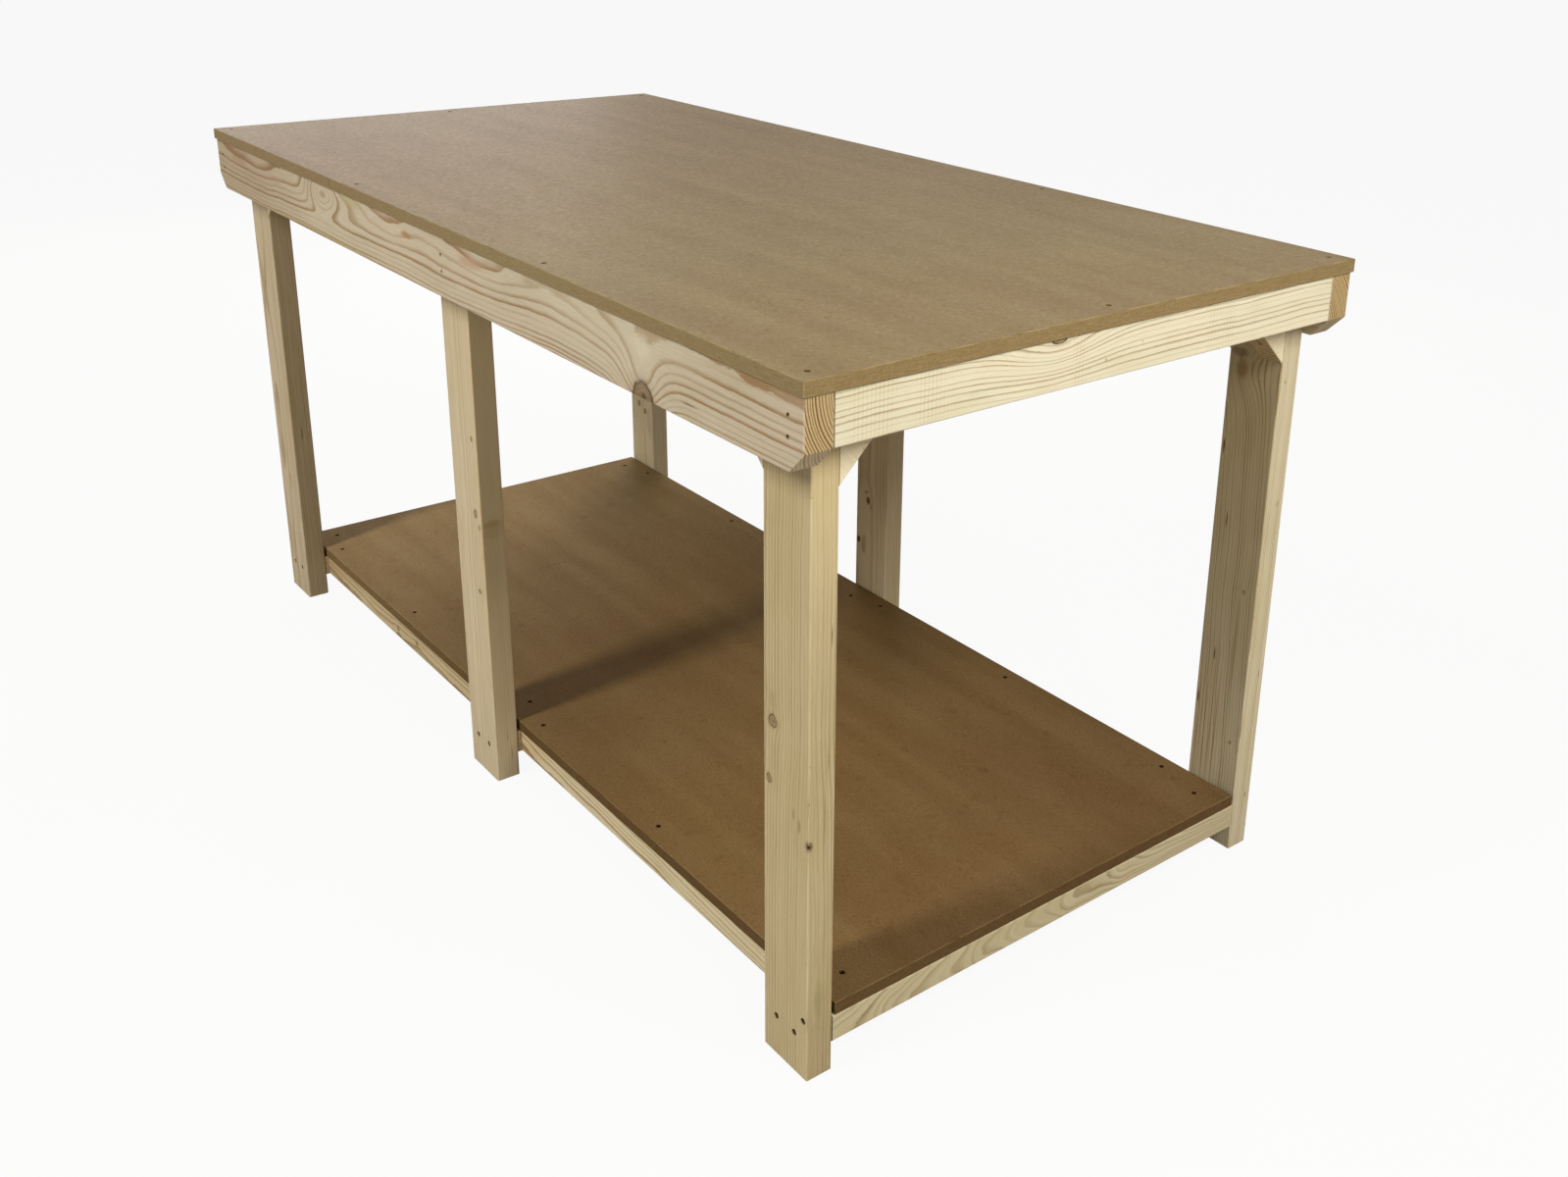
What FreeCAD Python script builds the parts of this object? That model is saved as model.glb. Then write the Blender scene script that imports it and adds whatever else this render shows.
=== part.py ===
import FreeCAD, Part
import os
from math import sqrt

# A free-standing assembly table: a timber frame on six legs, with a fibreboard worktop and a
# fibreboard shelf near the floor. Everything is screwed together and nothing moves.
# Millimetres. +X runs along the table to its right-hand end, -Y is the front, +Z is up, and
# the origin is on the floor below the middle of the table.

# Overall sizes
table_length = 1830.0
table_width = 915.0
table_height = 915.0

# Stock that the pieces are cut from
board_thickness = 18.0
timber_thickness = 38.0
wide_timber = 89.0
narrow_timber = 63.0
timber_edge_round = 2.5
timber_end_chamfer = 0.6
board_edge_chamfer = 0.6

# How the pieces stand to each other
top_overhang = 3.0
apron_corner_cut = 27.0
shelf_frame_height = 40.0
shelf_board_gap = 4.5
shelf_rail_setback = 6.5

# Countersunk screws for the boards and, longer and stronger, for the timbers
board_screw_diameter = 4.0
board_screw_head = 7.2
board_screw_length = 35.0
board_screw_sink = 2.0
frame_screw_diameter = 4.5
frame_screw_head = 8.6
frame_screw_long = 80.0
frame_screw_short = 70.0
frame_screw_sink = 3.0
slim_screw_head = 5.2
screw_rim = 0.5
screw_tip_length = 6.0
recess_width = 1.1
recess_span = 4.8
recess_share_of_head = 0.6
recess_depth = 1.7
shank_clearance = 0.25
head_clearance = 0.2

# Where the screws go
top_screw_end_inset = 26.0
top_screw_side_inset = 17.5
top_screw_corner_inset = 23.5
top_screw_left_spacing = 640.0
top_screw_right_spacing = 577.0
top_screw_off_middle = 7.0
shelf_cross_screw_end = 45.5
shelf_cross_screw_side = 39.0
shelf_long_screw_face = 22.0
rail_screw_face = 10.0
rail_screw_upper = 26.0
rail_screw_lower = 50.0
leg_screw_side = 30.0
leg_screw_upper = 17.0
leg_screw_lower = 72.0
foot_screw_spacing = 37.0
foot_screw_height = 17.0
shelf_catch_screw_side = 8.0
shelf_catch_screw_height = 7.0
brace_screw_from_tip = 42.0
brace_side_screw_near = 35.0
brace_side_screw_near_drop = 25.0
brace_side_screw_far = 88.0
brace_side_screw_far_drop = 16.0

# Three screws along each long shelf rail, driven by hand: the first and the second by their
# distance from the middle leg, the third by its distance from the end leg
shelf_long_screws = {
    "front_left": (22.0, 372.0, 22.0),
    "front_right": (35.0, 383.0, 10.0),
    "rear_left": (22.0, 383.0, 22.0),
    "rear_right": (23.0, 361.0, 29.0),
}

# Planes and lengths that follow from the sizes above
half_length = table_length / 2
half_width = table_width / 2
under_top = table_height - board_thickness
apron_low = under_top - wide_timber
top_rail_low = under_top - narrow_timber
frame_end = half_length - top_overhang
apron_outer = half_width - top_overhang
apron_inner = apron_outer - timber_thickness
leg_inner = apron_inner - timber_thickness
leg_end = frame_end - timber_thickness
leg_side = leg_end - wide_timber
half_leg = wide_timber / 2
shelf_frame_top = shelf_frame_height + timber_thickness
shelf_top = shelf_frame_top + board_thickness
shelf_board_edge = leg_inner - shelf_board_gap
shelf_rail_outer = leg_inner - shelf_rail_setback
shelf_rail_inner = shelf_rail_outer - narrow_timber
brace_leg = wide_timber * sqrt(2)

along_x = FreeCAD.Vector(1, 0, 0)
along_y = FreeCAD.Vector(0, 1, 0)
along_z = FreeCAD.Vector(0, 0, 1)
alignment_tolerance = 0.001

end_sides = {"left": -1, "right": 1}
long_sides = {"front": -1, "rear": 1}

pieces = {}
screws = {}


def flipped(span, side):
    """The same stretch on the side of the table that the sign gives."""
    return tuple(sorted((side * span[0], side * span[1])))


def block(x_span, y_span, z_span):
    corner = FreeCAD.Vector(x_span[0], y_span[0], z_span[0])
    size = (x_span[1] - x_span[0], y_span[1] - y_span[0], z_span[1] - z_span[0])
    return Part.makeBox(*size, corner)


def edges_along(solid, direction):
    found = []
    for edge in solid.Edges:
        run = edge.Vertexes[-1].Point - edge.Vertexes[0].Point
        if run.cross(direction).Length < alignment_tolerance:
            found.append(edge)
    return found


def edges_across(solid, direction):
    """The edges around both sawn ends of a timber that runs in the direction."""
    ends = [face for face in solid.Faces if face.normalAt(0, 0).cross(direction).Length < alignment_tolerance]
    return [edge for face in ends for edge in face.Edges]


def timber(x_span, y_span, z_span, grain):
    """A planed timber with rounded long edges, and with the sharpness taken off its sawn ends."""
    blank = block(x_span, y_span, z_span)
    planed = blank.makeFillet(timber_edge_round, edges_along(blank, grain))
    return planed.makeChamfer(timber_end_chamfer, edges_across(planed, grain))


def board(x_span, y_span, z_span):
    """A sawn board with its sharp edges just taken off."""
    blank = block(x_span, y_span, z_span)
    return blank.makeChamfer(board_edge_chamfer, blank.Edges)


def prism(corners, run):
    """The flat outline through the corners, pushed along the run."""
    outline = Part.makePolygon(corners + corners[:1])
    return Part.Face(outline).extrude(run)


def apron(side):
    """A long plank on edge, with both lower corners cut off at 45 degrees."""
    y_span = flipped((apron_inner, apron_outer), side)
    plank = timber((-frame_end, frame_end), y_span, (apron_low, under_top), along_x)
    for end in end_sides.values():
        corner = FreeCAD.Vector(end * frame_end, y_span[0], apron_low)
        above = corner + along_z * apron_corner_cut
        inward = corner - along_x * end * apron_corner_cut
        plank = plank.cut(prism([corner, above, inward], along_y * timber_thickness))
    return plank


def brace(corner, across, thickness_run):
    """A solid triangle in the angle between a leg and the underside of the worktop.

    It is the full width of the wide timber from its corner to its slanted face, so its
    slanted face is the rounded edge of that timber.
    """
    far = corner + across * brace_leg
    tip = corner - along_z * brace_leg
    triangle = prism([corner, far, tip], thickness_run)
    return triangle.makeFillet(timber_edge_round, edges_along(triangle, (far - tip).normalize()))


def turned(points):
    """A solid turned about the Z axis from a list of (radius, height)."""
    corners = [FreeCAD.Vector(radius, 0, height) for radius, height in points]
    outline = Part.makePolygon(corners + corners[:1])
    return Part.Face(outline).revolve(FreeCAD.Vector(0, 0, 0), along_z, 360)


def screw_body(diameter, head, length):
    """A countersunk screw with the top of its head at the origin, pointing down."""
    shank = diameter / 2
    cone_end = screw_rim + head / 2 - shank
    body = turned([
        (0, 0),
        (head / 2, 0),
        (head / 2, -screw_rim),
        (shank, -cone_end),
        (shank, screw_tip_length - length),
        (0, -length),
    ])
    arm = min(recess_span, head * recess_share_of_head) / 2
    slot = recess_width / 2
    body = body.cut(block((-arm, arm), (-slot, slot), (-recess_depth, recess_depth)))
    return body.cut(block((-slot, slot), (-arm, arm), (-recess_depth, recess_depth)))


def screw_hole(diameter, head, length, sink):
    """What is drilled out for a screw: the sunk mouth, the seat of the head and a free shank."""
    mouth = head / 2 + head_clearance
    shank = diameter / 2 + shank_clearance
    return turned([
        (0, sink),
        (mouth, sink),
        (mouth, head_clearance - screw_rim),
        (shank, shank - head / 2 - screw_rim),
        (shank, -length),
        (0, -length),
    ])


def placed(solid, point, direction):
    """The solid, modelled pointing down from the origin, set at a point along a direction."""
    copy = solid.copy()
    turn = FreeCAD.Rotation(along_z * -1, direction)
    copy.Placement = FreeCAD.Placement(point, turn)
    return copy


def drive(group, entry, direction, sizes, through, into):
    """Drive a screw at the entry point: it passes freely through one piece and bites another."""
    diameter, head, length, sink = sizes
    head_place = entry + direction * sink
    screw = placed(screw_body(diameter, head, length), head_place, direction)
    hole = placed(screw_hole(diameter, head, length, sink), head_place, direction)
    pieces[through] = pieces[through].cut(hole)
    pieces[into] = pieces[into].cut(screw)
    screws.setdefault(group, []).append(screw)


board_screw = (board_screw_diameter, board_screw_head, board_screw_length, board_screw_sink)
long_screw = (frame_screw_diameter, frame_screw_head, frame_screw_long, frame_screw_sink)
short_screw = (frame_screw_diameter, frame_screw_head, frame_screw_short, frame_screw_sink)
slim_screw = (frame_screw_diameter, slim_screw_head, frame_screw_long, frame_screw_sink)

# Where the legs and the top rails stand along X
leg_places = {
    "left": (-leg_end, -leg_side),
    "middle": (-half_leg, half_leg),
    "right": (leg_side, leg_end),
}
top_rail_places = {
    "left": (-frame_end, -leg_end),
    "middle": (half_leg, half_leg + timber_thickness),
    "right": (leg_end, frame_end),
}


def make_boards():
    top_x = (-half_length, half_length)
    top_y = (-half_width, half_width)
    pieces["top_board"] = board(top_x, top_y, (under_top, table_height))
    shelf_y = (-shelf_board_edge, shelf_board_edge)
    pieces["shelf_board"] = board((-leg_end, leg_end), shelf_y, (shelf_frame_top, shelf_top))


def make_top_frame():
    for long_name, side in long_sides.items():
        pieces[long_name + "_apron"] = apron(side)
    for place, x_span in top_rail_places.items():
        y_span = (-apron_inner, apron_inner)
        pieces[place + "_top_rail"] = timber(x_span, y_span, (top_rail_low, under_top), along_y)


def make_legs():
    for long_name, side in long_sides.items():
        y_span = flipped((leg_inner, apron_inner), side)
        for place, x_span in leg_places.items():
            pieces[long_name + "_" + place + "_leg"] = timber(x_span, y_span, (0, under_top), along_z)


def make_shelf_frame():
    z_span = (shelf_frame_height, shelf_frame_top)
    for place, x_span in leg_places.items():
        pieces[place + "_shelf_rail"] = timber(x_span, (-leg_inner, leg_inner), z_span, along_y)
    for long_name, side in long_sides.items():
        y_span = flipped((shelf_rail_inner, shelf_rail_outer), side)
        for place, end in end_sides.items():
            x_span = flipped((half_leg, leg_side), end)
            pieces[long_name + "_" + place + "_shelf_rail"] = timber(x_span, y_span, z_span, along_x)


def make_braces():
    for long_name, side in long_sides.items():
        for place, end in end_sides.items():
            corner_name = long_name + "_" + place
            apron_corner = FreeCAD.Vector(end * leg_side, side * leg_inner, under_top)
            pieces[corner_name + "_apron_brace"] = brace(
                apron_corner, along_x * -end, along_y * side * timber_thickness)
            end_corner = FreeCAD.Vector(end * leg_end, side * leg_inner, under_top)
            pieces[corner_name + "_end_brace"] = brace(
                end_corner, along_y * -side, along_x * -end * timber_thickness)


def screw_top_board():
    """Four screws into each apron, and one near the middle of each end rail."""
    down = along_z * -1
    corner = (half_length - top_screw_end_inset, half_width - top_screw_corner_inset)
    side_y = half_width - top_screw_side_inset
    places = (
        (-corner[0], corner[1]),
        (-half_length + top_screw_left_spacing, side_y),
        (half_length - top_screw_right_spacing, side_y),
        corner,
    )
    for long_name, side in long_sides.items():
        for x, y in places:
            entry = FreeCAD.Vector(x, side * y, table_height)
            drive("top_board_screws", entry, down, board_screw, "top_board", long_name + "_apron")
    for place, end in end_sides.items():
        entry = FreeCAD.Vector(end * corner[0], end * top_screw_off_middle, table_height)
        drive("top_board_screws", entry, down, board_screw, "top_board", place + "_top_rail")


def screw_shelf_board():
    """One screw at each end of a cross rail, and three along each long rail."""
    down = along_z * -1
    cross_places = {
        "left": -leg_end + shelf_cross_screw_side,
        "middle": 0,
        "right": leg_end - shelf_cross_screw_side,
    }
    long_side = shelf_rail_outer - shelf_long_screw_face
    for long_name, side in long_sides.items():
        for place, x in cross_places.items():
            entry = FreeCAD.Vector(x, side * (leg_inner - shelf_cross_screw_end), shelf_top)
            drive("shelf_board_screws", entry, down, board_screw, "shelf_board", place + "_shelf_rail")
        for place, end in end_sides.items():
            rail = long_name + "_" + place + "_shelf_rail"
            inner, middle, outer = shelf_long_screws[long_name + "_" + place]
            for x in (half_leg + inner, half_leg + middle, leg_side - outer):
                entry = FreeCAD.Vector(end * x, side * long_side, shelf_top)
                drive("shelf_board_screws", entry, down, board_screw, "shelf_board", rail)


def screw_top_rails():
    """Two screws through the apron into each end of each top rail."""
    places = {
        "left": -leg_end - rail_screw_face,
        "middle": half_leg + rail_screw_face,
        "right": leg_end + rail_screw_face,
    }
    for long_name, side in long_sides.items():
        for place, x in places.items():
            for drop in (rail_screw_upper, rail_screw_lower):
                entry = FreeCAD.Vector(x, side * apron_outer, under_top - drop)
                drive("top_rail_screws", entry, along_y * -side, slim_screw,
                      long_name + "_apron", place + "_top_rail")


def screw_legs():
    """Two screws from inside through each leg into the apron, and two through each foot.

    One more screw, through the front right leg, catches the edge of the shelf board.
    """
    for long_name, side in long_sides.items():
        for place, x_span in leg_places.items():
            leg = long_name + "_" + place + "_leg"
            x = x_span[1] - leg_screw_side if place == "left" else x_span[0] + leg_screw_side
            for drop in (leg_screw_upper, leg_screw_lower):
                entry = FreeCAD.Vector(x, side * leg_inner, under_top - drop)
                drive("leg_screws", entry, along_y * side, short_screw, leg, long_name + "_apron")
            for step in (-1, 1):
                x = (x_span[0] + x_span[1]) / 2 + step * foot_screw_spacing / 2
                entry = FreeCAD.Vector(x, side * apron_inner, shelf_frame_height + foot_screw_height)
                drive("foot_screws", entry, along_y * -side, long_screw, leg, place + "_shelf_rail")
    catch_height = shelf_frame_top + shelf_catch_screw_height
    entry = FreeCAD.Vector(leg_end - shelf_catch_screw_side, -apron_inner, catch_height)
    drive("foot_screws", entry, along_y, long_screw, "front_right_leg", "shelf_board")


def screw_brace(name, leg, plate, corner, across, outward):
    """One screw square to the slanted face into the leg, and two through into apron or rail."""
    tip = corner - along_z * brace_leg - outward * (timber_thickness / 2)
    slope = (across + along_z).normalize()
    entry = tip + slope * brace_screw_from_tip
    drive("brace_leg_screws", entry, (along_z - across).normalize(), short_screw, name, leg)
    side_places = (
        (brace_side_screw_near, brace_side_screw_near_drop),
        (brace_side_screw_far, brace_side_screw_far_drop),
    )
    for reach, drop in side_places:
        entry = corner + across * reach - along_z * drop - outward * timber_thickness
        drive("brace_side_screws", entry, outward, short_screw, name, plate)


def screw_braces():
    for long_name, side in long_sides.items():
        for place, end in end_sides.items():
            corner_name = long_name + "_" + place
            leg = corner_name + "_leg"
            apron_corner = FreeCAD.Vector(end * leg_side, side * apron_inner, under_top)
            screw_brace(corner_name + "_apron_brace", leg, long_name + "_apron",
                        apron_corner, along_x * -end, along_y * side)
            end_corner = FreeCAD.Vector(end * leg_end, side * leg_inner, under_top)
            screw_brace(corner_name + "_end_brace", leg, place + "_top_rail",
                        end_corner, along_y * -side, along_x * end)


make_boards()
make_top_frame()
make_legs()
make_shelf_frame()
make_braces()
screw_top_board()
screw_shelf_board()
screw_top_rails()
screw_legs()
screw_braces()

os.makedirs("parts", exist_ok=True)
for name, solid in pieces.items():
    solid.exportStep("parts/" + name + ".step")
for name, group in screws.items():
    Part.makeCompound(group).exportStep("parts/" + name + ".step")
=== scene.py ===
from math import cos, radians, sin, tau

import bpy
from mathutils import Matrix, Vector


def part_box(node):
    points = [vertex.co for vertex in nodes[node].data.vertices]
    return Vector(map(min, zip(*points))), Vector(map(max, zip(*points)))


# The looks of an assembly table: planed pine, two fibreboard sheets and sunk screws.
# The frame of the solids is in metres: +X to the right-hand end, -Y the front, +Z up.
# Timbers, knots and marks are given in millimetres in that same frame.

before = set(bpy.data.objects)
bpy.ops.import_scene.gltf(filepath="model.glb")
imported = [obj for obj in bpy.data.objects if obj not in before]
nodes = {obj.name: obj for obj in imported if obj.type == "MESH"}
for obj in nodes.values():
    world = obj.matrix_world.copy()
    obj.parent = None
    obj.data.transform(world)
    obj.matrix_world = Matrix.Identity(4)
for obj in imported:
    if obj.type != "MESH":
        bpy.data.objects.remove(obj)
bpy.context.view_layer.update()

mm = 0.001


# ---------------------------------------------------------------------------------------------
# Small helpers for node trees
# ---------------------------------------------------------------------------------------------

class Tree:
    """Adds nodes to a node tree and joins each one to the sockets that feed it."""

    def __init__(self, tree):
        self.tree = tree

    def add(self, kind, feeds=None, **settings):
        node = self.tree.nodes.new(kind)
        for name, value in settings.items():
            setattr(node, name, value)
        for name, value in (feeds or {}).items():
            self.feed(node.inputs[name], value)
        return node

    def feed(self, socket, value):
        if isinstance(value, bpy.types.NodeSocket):
            self.tree.links.new(value, socket)
        else:
            socket.default_value = value

    def math(self, operation, *values, clamp=False):
        node = self.add("ShaderNodeMath", dict(enumerate(values)), operation=operation, use_clamp=clamp)
        return node.outputs[0]

    def vector(self, operation, *values):
        node = self.add("ShaderNodeVectorMath", dict(enumerate(values)), operation=operation)
        return node.outputs["Value" if operation == "LENGTH" else "Vector"]

    def parts(self, vector):
        return self.add("ShaderNodeSeparateXYZ", {0: vector}).outputs

    def joined(self, x, y, z):
        return self.add("ShaderNodeCombineXYZ", {0: x, 1: y, 2: z}).outputs[0]

    def noise(self, place, scale, detail, rough=0.5, colour=False):
        """Noise at a place. The scale is one number, or one for each way of the place."""
        if isinstance(scale, tuple):
            place, scale = self.vector("MULTIPLY", place, scale), 1.0
        node = self.add("ShaderNodeTexNoise",
                        {"Vector": place, "Scale": scale, "Detail": detail, "Roughness": rough})
        return node.outputs["Color" if colour else "Fac"]

    def ramp(self, value, low, high, start=0.0, end=1.0):
        """The value carried softly from low..high over to start..end, held at both ends."""
        node = self.add("ShaderNodeMapRange", {"Value": value, "From Min": low, "From Max": high,
                                               "To Min": start, "To Max": end},
                        interpolation_type="SMOOTHSTEP")
        return node.outputs["Result"]

    def blend(self, mask, first, second, how="MIX"):
        node = self.add("ShaderNodeMix", data_type="RGBA", blend_type=how)
        self.feed(node.inputs["Factor"], mask)
        colours = [socket for socket in node.inputs if socket.type == "RGBA"]
        self.feed(colours[0], first)
        self.feed(colours[1], second)
        return next(socket for socket in node.outputs if socket.type == "RGBA")

    def darken(self, mask, first, code):
        """The colour multiplied by another one where the mask says so."""
        return self.blend(mask, first, colour(code), "MULTIPLY")


def node_group(name, takes, gives):
    """A shader node group with named sockets: its tree, what it takes and what it gives."""
    tree = bpy.data.node_groups.new(name, "ShaderNodeTree")
    for label, kind, value in takes:
        socket = tree.interface.new_socket(name=label, in_out="INPUT", socket_type="NodeSocket" + kind)
        socket.default_value = value
    for label, kind in gives:
        tree.interface.new_socket(name=label, in_out="OUTPUT", socket_type="NodeSocket" + kind)
    tree.nodes.new("NodeGroupInput")
    tree.nodes.new("NodeGroupOutput")
    return Tree(tree), tree.nodes["Group Input"].outputs, tree.nodes["Group Output"].inputs


def colour(code):
    """A colour given as it looks on a screen, such as "c8b48a", in the values that shaders use."""
    shares = [int(code[i:i + 2], 16) / 255 for i in (0, 2, 4)]
    return tuple(((s + 0.055) / 1.055) ** 2.4 if s > 0.04045 else s / 12.92 for s in shares) + (1.0,)


# ---------------------------------------------------------------------------------------------
# Node groups: how knots bend the grain, the pine itself, marks on it, the fibreboard
# ---------------------------------------------------------------------------------------------
# Places inside a piece are millimetres from its middle: X along the grain, Y across, Z out.

no_place = (0.0, 0.0, 0.0)
no_knot = -9.0

# How often noise in pine repeats in a millimetre along the grain, across it and outwards
ripple_scale = (1 / 55, 1 / 30, 1 / 30)
patch_scale = (1 / 120, 1 / 25, 1 / 25)
fuzz_scale = (1 / 9, 0.5, 0.5)
tone_scale = (0.006, 0.018, 0.018)
rub_scale = (0.02, 0.2, 0.2)

# The same where the ways are the grain, the distance from the pith and across the grain
fibre_scale = (1 / 70, 0.9, 0.35)
duct_scale = (1 / 7, 1.6, 1.6)


def knot_group():
    """One knot: it parts the grain beside it, lifts the rings near it and has a depth of its own.

    Depth is 0 at the knot's edge, 1 at its heart and below 0 outside."""
    tree, takes, gives = node_group(
        "knot in timber",
        [("Place", "Vector", no_place), ("Shift", "Float", 0.0), ("Pull", "Float", 0.0),
         ("Depth", "Float", no_knot), ("Centre", "Vector", no_place),
         ("Narrowing", "Vector", (1.0, 1.0, 1.0)), ("Size", "Float", 8.0),
         ("Parting", "Float", 1.0), ("Lift", "Float", 0.0), ("Reach", "Float", 25.0)],
        [("Shift", "Float"), ("Pull", "Float"), ("Depth", "Float")])
    least_away, most_parted = 0.5, 0.97
    uneven = tree.math("MULTIPLY_ADD", tree.noise(takes["Place"], 0.09, 2.0), 0.5, 0.75)
    from_centre = tree.vector("SUBTRACT", takes["Place"], takes["Centre"])
    apart = tree.vector("LENGTH", tree.vector("MULTIPLY", from_centre, takes["Narrowing"]))
    away = tree.math("MULTIPLY", apart, uneven)
    share = tree.math("DIVIDE", takes["Size"], tree.math("MAXIMUM", away, least_away))
    parted = tree.math("MINIMUM", tree.math("MULTIPLY", share, share), most_parted)
    beside = tree.parts(from_centre)["Y"]
    pushed = tree.math("MULTIPLY", tree.math("MULTIPLY", beside, parted), takes["Parting"])
    tree.feed(gives["Shift"], tree.math("SUBTRACT", takes["Shift"], pushed))
    reached = tree.math("DIVIDE", apart, takes["Reach"])
    hill = tree.math("EXPONENT", tree.math("MULTIPLY", tree.math("MULTIPLY", reached, reached), -1.0))
    tree.feed(gives["Pull"], tree.math("MULTIPLY_ADD", hill, takes["Lift"], takes["Pull"]))
    depth = tree.math("SUBTRACT", 1.0, tree.math("DIVIDE", away, takes["Size"]))
    tree.feed(gives["Depth"], tree.math("MAXIMUM", takes["Depth"], depth))
    return tree.tree


def mark_group():
    """A long or round mark with a ragged edge, such as a resin streak, a crack or a stain."""
    tree, takes, gives = node_group(
        "mark on timber",
        [("Place", "Vector", no_place), ("Centre", "Vector", no_place),
         ("Narrowing", "Vector", (0.1, 0.1, 0.1)), ("Ragged", "Float", 0.5), ("Strength", "Float", 1.0)],
        [("Mask", "Float")])
    place = tree.vector("MULTIPLY", tree.vector("SUBTRACT", takes["Place"], takes["Centre"]),
                        takes["Narrowing"])
    worn = tree.noise(tree.vector("ADD", place, takes["Centre"]), 2.1, 3.0, 0.6)
    away = tree.math("MULTIPLY_ADD", tree.math("SUBTRACT", worn, 0.5), takes["Ragged"],
                     tree.vector("LENGTH", place))
    tree.feed(gives["Mask"], tree.math("MULTIPLY", tree.ramp(away, 1.0, 0.3), takes["Strength"]))
    return tree.tree


def ring_radius(tree, takes, shifted):
    """How far each point lies from the pith line, which leans and wanders."""
    along, _, out = tree.parts(takes["Place"])
    pith, lean = tree.parts(takes["Pith"]), tree.parts(takes["Lean"])
    wander, seed = takes["Wander"], takes["Seed"]
    swing_share, ripple_share = 4.0, 0.8
    bends = tree.joined(tree.math("DIVIDE", along, takes["Wave"]), seed, 0.0)
    bend = tree.parts(tree.noise(bends, 1.0, 1.0, 0.4, colour=True))

    def from_pith(value, way, bend_value):
        swing = tree.math("MULTIPLY", tree.math("SUBTRACT", bend_value, 0.5), wander)
        path = tree.math("MULTIPLY_ADD", lean[way], along, pith[way])
        return tree.math("MULTIPLY_ADD", swing, swing_share, tree.math("SUBTRACT", value, path))

    sideways = from_pith(shifted, "Y", bend["X"])
    outwards = from_pith(out, "Z", bend["Y"])
    radius = tree.vector("LENGTH", tree.joined(sideways, outwards, 0.0))
    radius = tree.math("ADD", radius, takes["Pull"])
    ripples = tree.vector("MULTIPLY", takes["Place"], ripple_scale)
    ripple = tree.noise(tree.vector("ADD", ripples, tree.joined(0.0, 0.0, seed)), 1.0, 2.0)
    strength = tree.math("MULTIPLY", wander, ripple_share)
    return tree.math("MULTIPLY_ADD", tree.math("SUBTRACT", ripple, 0.5), strength, radius)


def year_rings(tree, takes, radius):
    """Pale early wood that darkens slowly and ends at a sharp late line.

    Gives how much of the year has passed, the luck of that year, and how late the wood is."""
    ring, seed = takes["Ring"], takes["Seed"]
    rings_alike, ring_unevenness, ring_fuzz = 5.0, 2.4, 0.16
    fuzz = tree.noise(takes["Place"], fuzz_scale, 2.0, 0.6)
    spread = tree.math("DIVIDE", radius, tree.math("MULTIPLY", ring, rings_alike))
    uneven = tree.noise(tree.joined(spread, seed, 0.0), 1.0, 1.0)
    count = tree.math("MULTIPLY_ADD", uneven, ring_unevenness, tree.math("DIVIDE", radius, ring))
    count = tree.math("MULTIPLY_ADD", fuzz, ring_fuzz, count)
    year = tree.math("FLOOR", count)
    share = tree.math("SUBTRACT", count, year)
    luck = tree.add("ShaderNodeTexWhiteNoise", {"Vector": tree.joined(year, seed, 0.0)}).outputs["Value"]

    start = tree.math("MULTIPLY_ADD", luck, -0.2, takes["Early"])
    late = tree.math("MULTIPLY", tree.ramp(share, start, 0.92), tree.ramp(share, 0.94, 1.0, 1.0, 0.0))
    late = tree.math("MULTIPLY", late, tree.math("MULTIPLY_ADD", luck, 0.75, 0.3))
    patches = tree.vector("MULTIPLY", takes["Place"], patch_scale)
    patchy = tree.noise(tree.vector("ADD", patches, tree.joined(0.0, 0.0, seed)), 1.0, 1.0)
    late = tree.math("MULTIPLY", late, tree.ramp(patchy, 0.2, 0.75, 0.65, 1.15))
    late = tree.math("MULTIPLY", late, takes["Bold"], clamp=True)
    return share, luck, late


def planed_shade(tree, takes, late, fibres, duct):
    """The colour of a planed face: rings, resin ducts, fibres and slow changes of tone."""
    tone_start = (91.0, 17.0, 53.0)
    tone = tree.noise(tree.vector("ADD", takes["Place"], tone_start), tone_scale, 2.0)
    shade = tree.blend(late, takes["Pale"], takes["Late"])
    shade = tree.darken(duct, shade, "a88a5c")
    shade = tree.darken(tree.ramp(fibres, 0.25, 0.75, 0.30, 0.0), shade, "d9c6a4")
    shade = tree.blend(tree.ramp(fibres, 0.55, 0.8, 0.0, 0.12), shade, colour("fff6e0"))
    shade = tree.darken(tree.ramp(tone, 0.3, 0.7, 0.0, 0.55), shade, "efe8d2")
    return tree.darken(tree.ramp(tone, 0.55, 0.3, 0.0, 0.4), shade, "fbeedd")


def cut_shade(tree, end, pores, share, luck, shade):
    """Cut ends drink in the light: darker and warmer, with the rings bold."""
    cut_ring = tree.math("MULTIPLY", tree.ramp(share, 0.25, 0.8), tree.ramp(share, 0.9, 1.0, 1.0, 0.0))
    cut_ring = tree.math("MULTIPLY", cut_ring, tree.math("MULTIPLY_ADD", luck, 0.35, 0.65))
    cut = tree.blend(cut_ring, colour("c5ae80"), colour("64491f"))
    cut = tree.darken(tree.ramp(pores, 0.35, 0.7, 0.45, 0.0), cut, "b99c70")
    return tree.blend(tree.math("MULTIPLY", end, 0.92), shade, cut)


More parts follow.
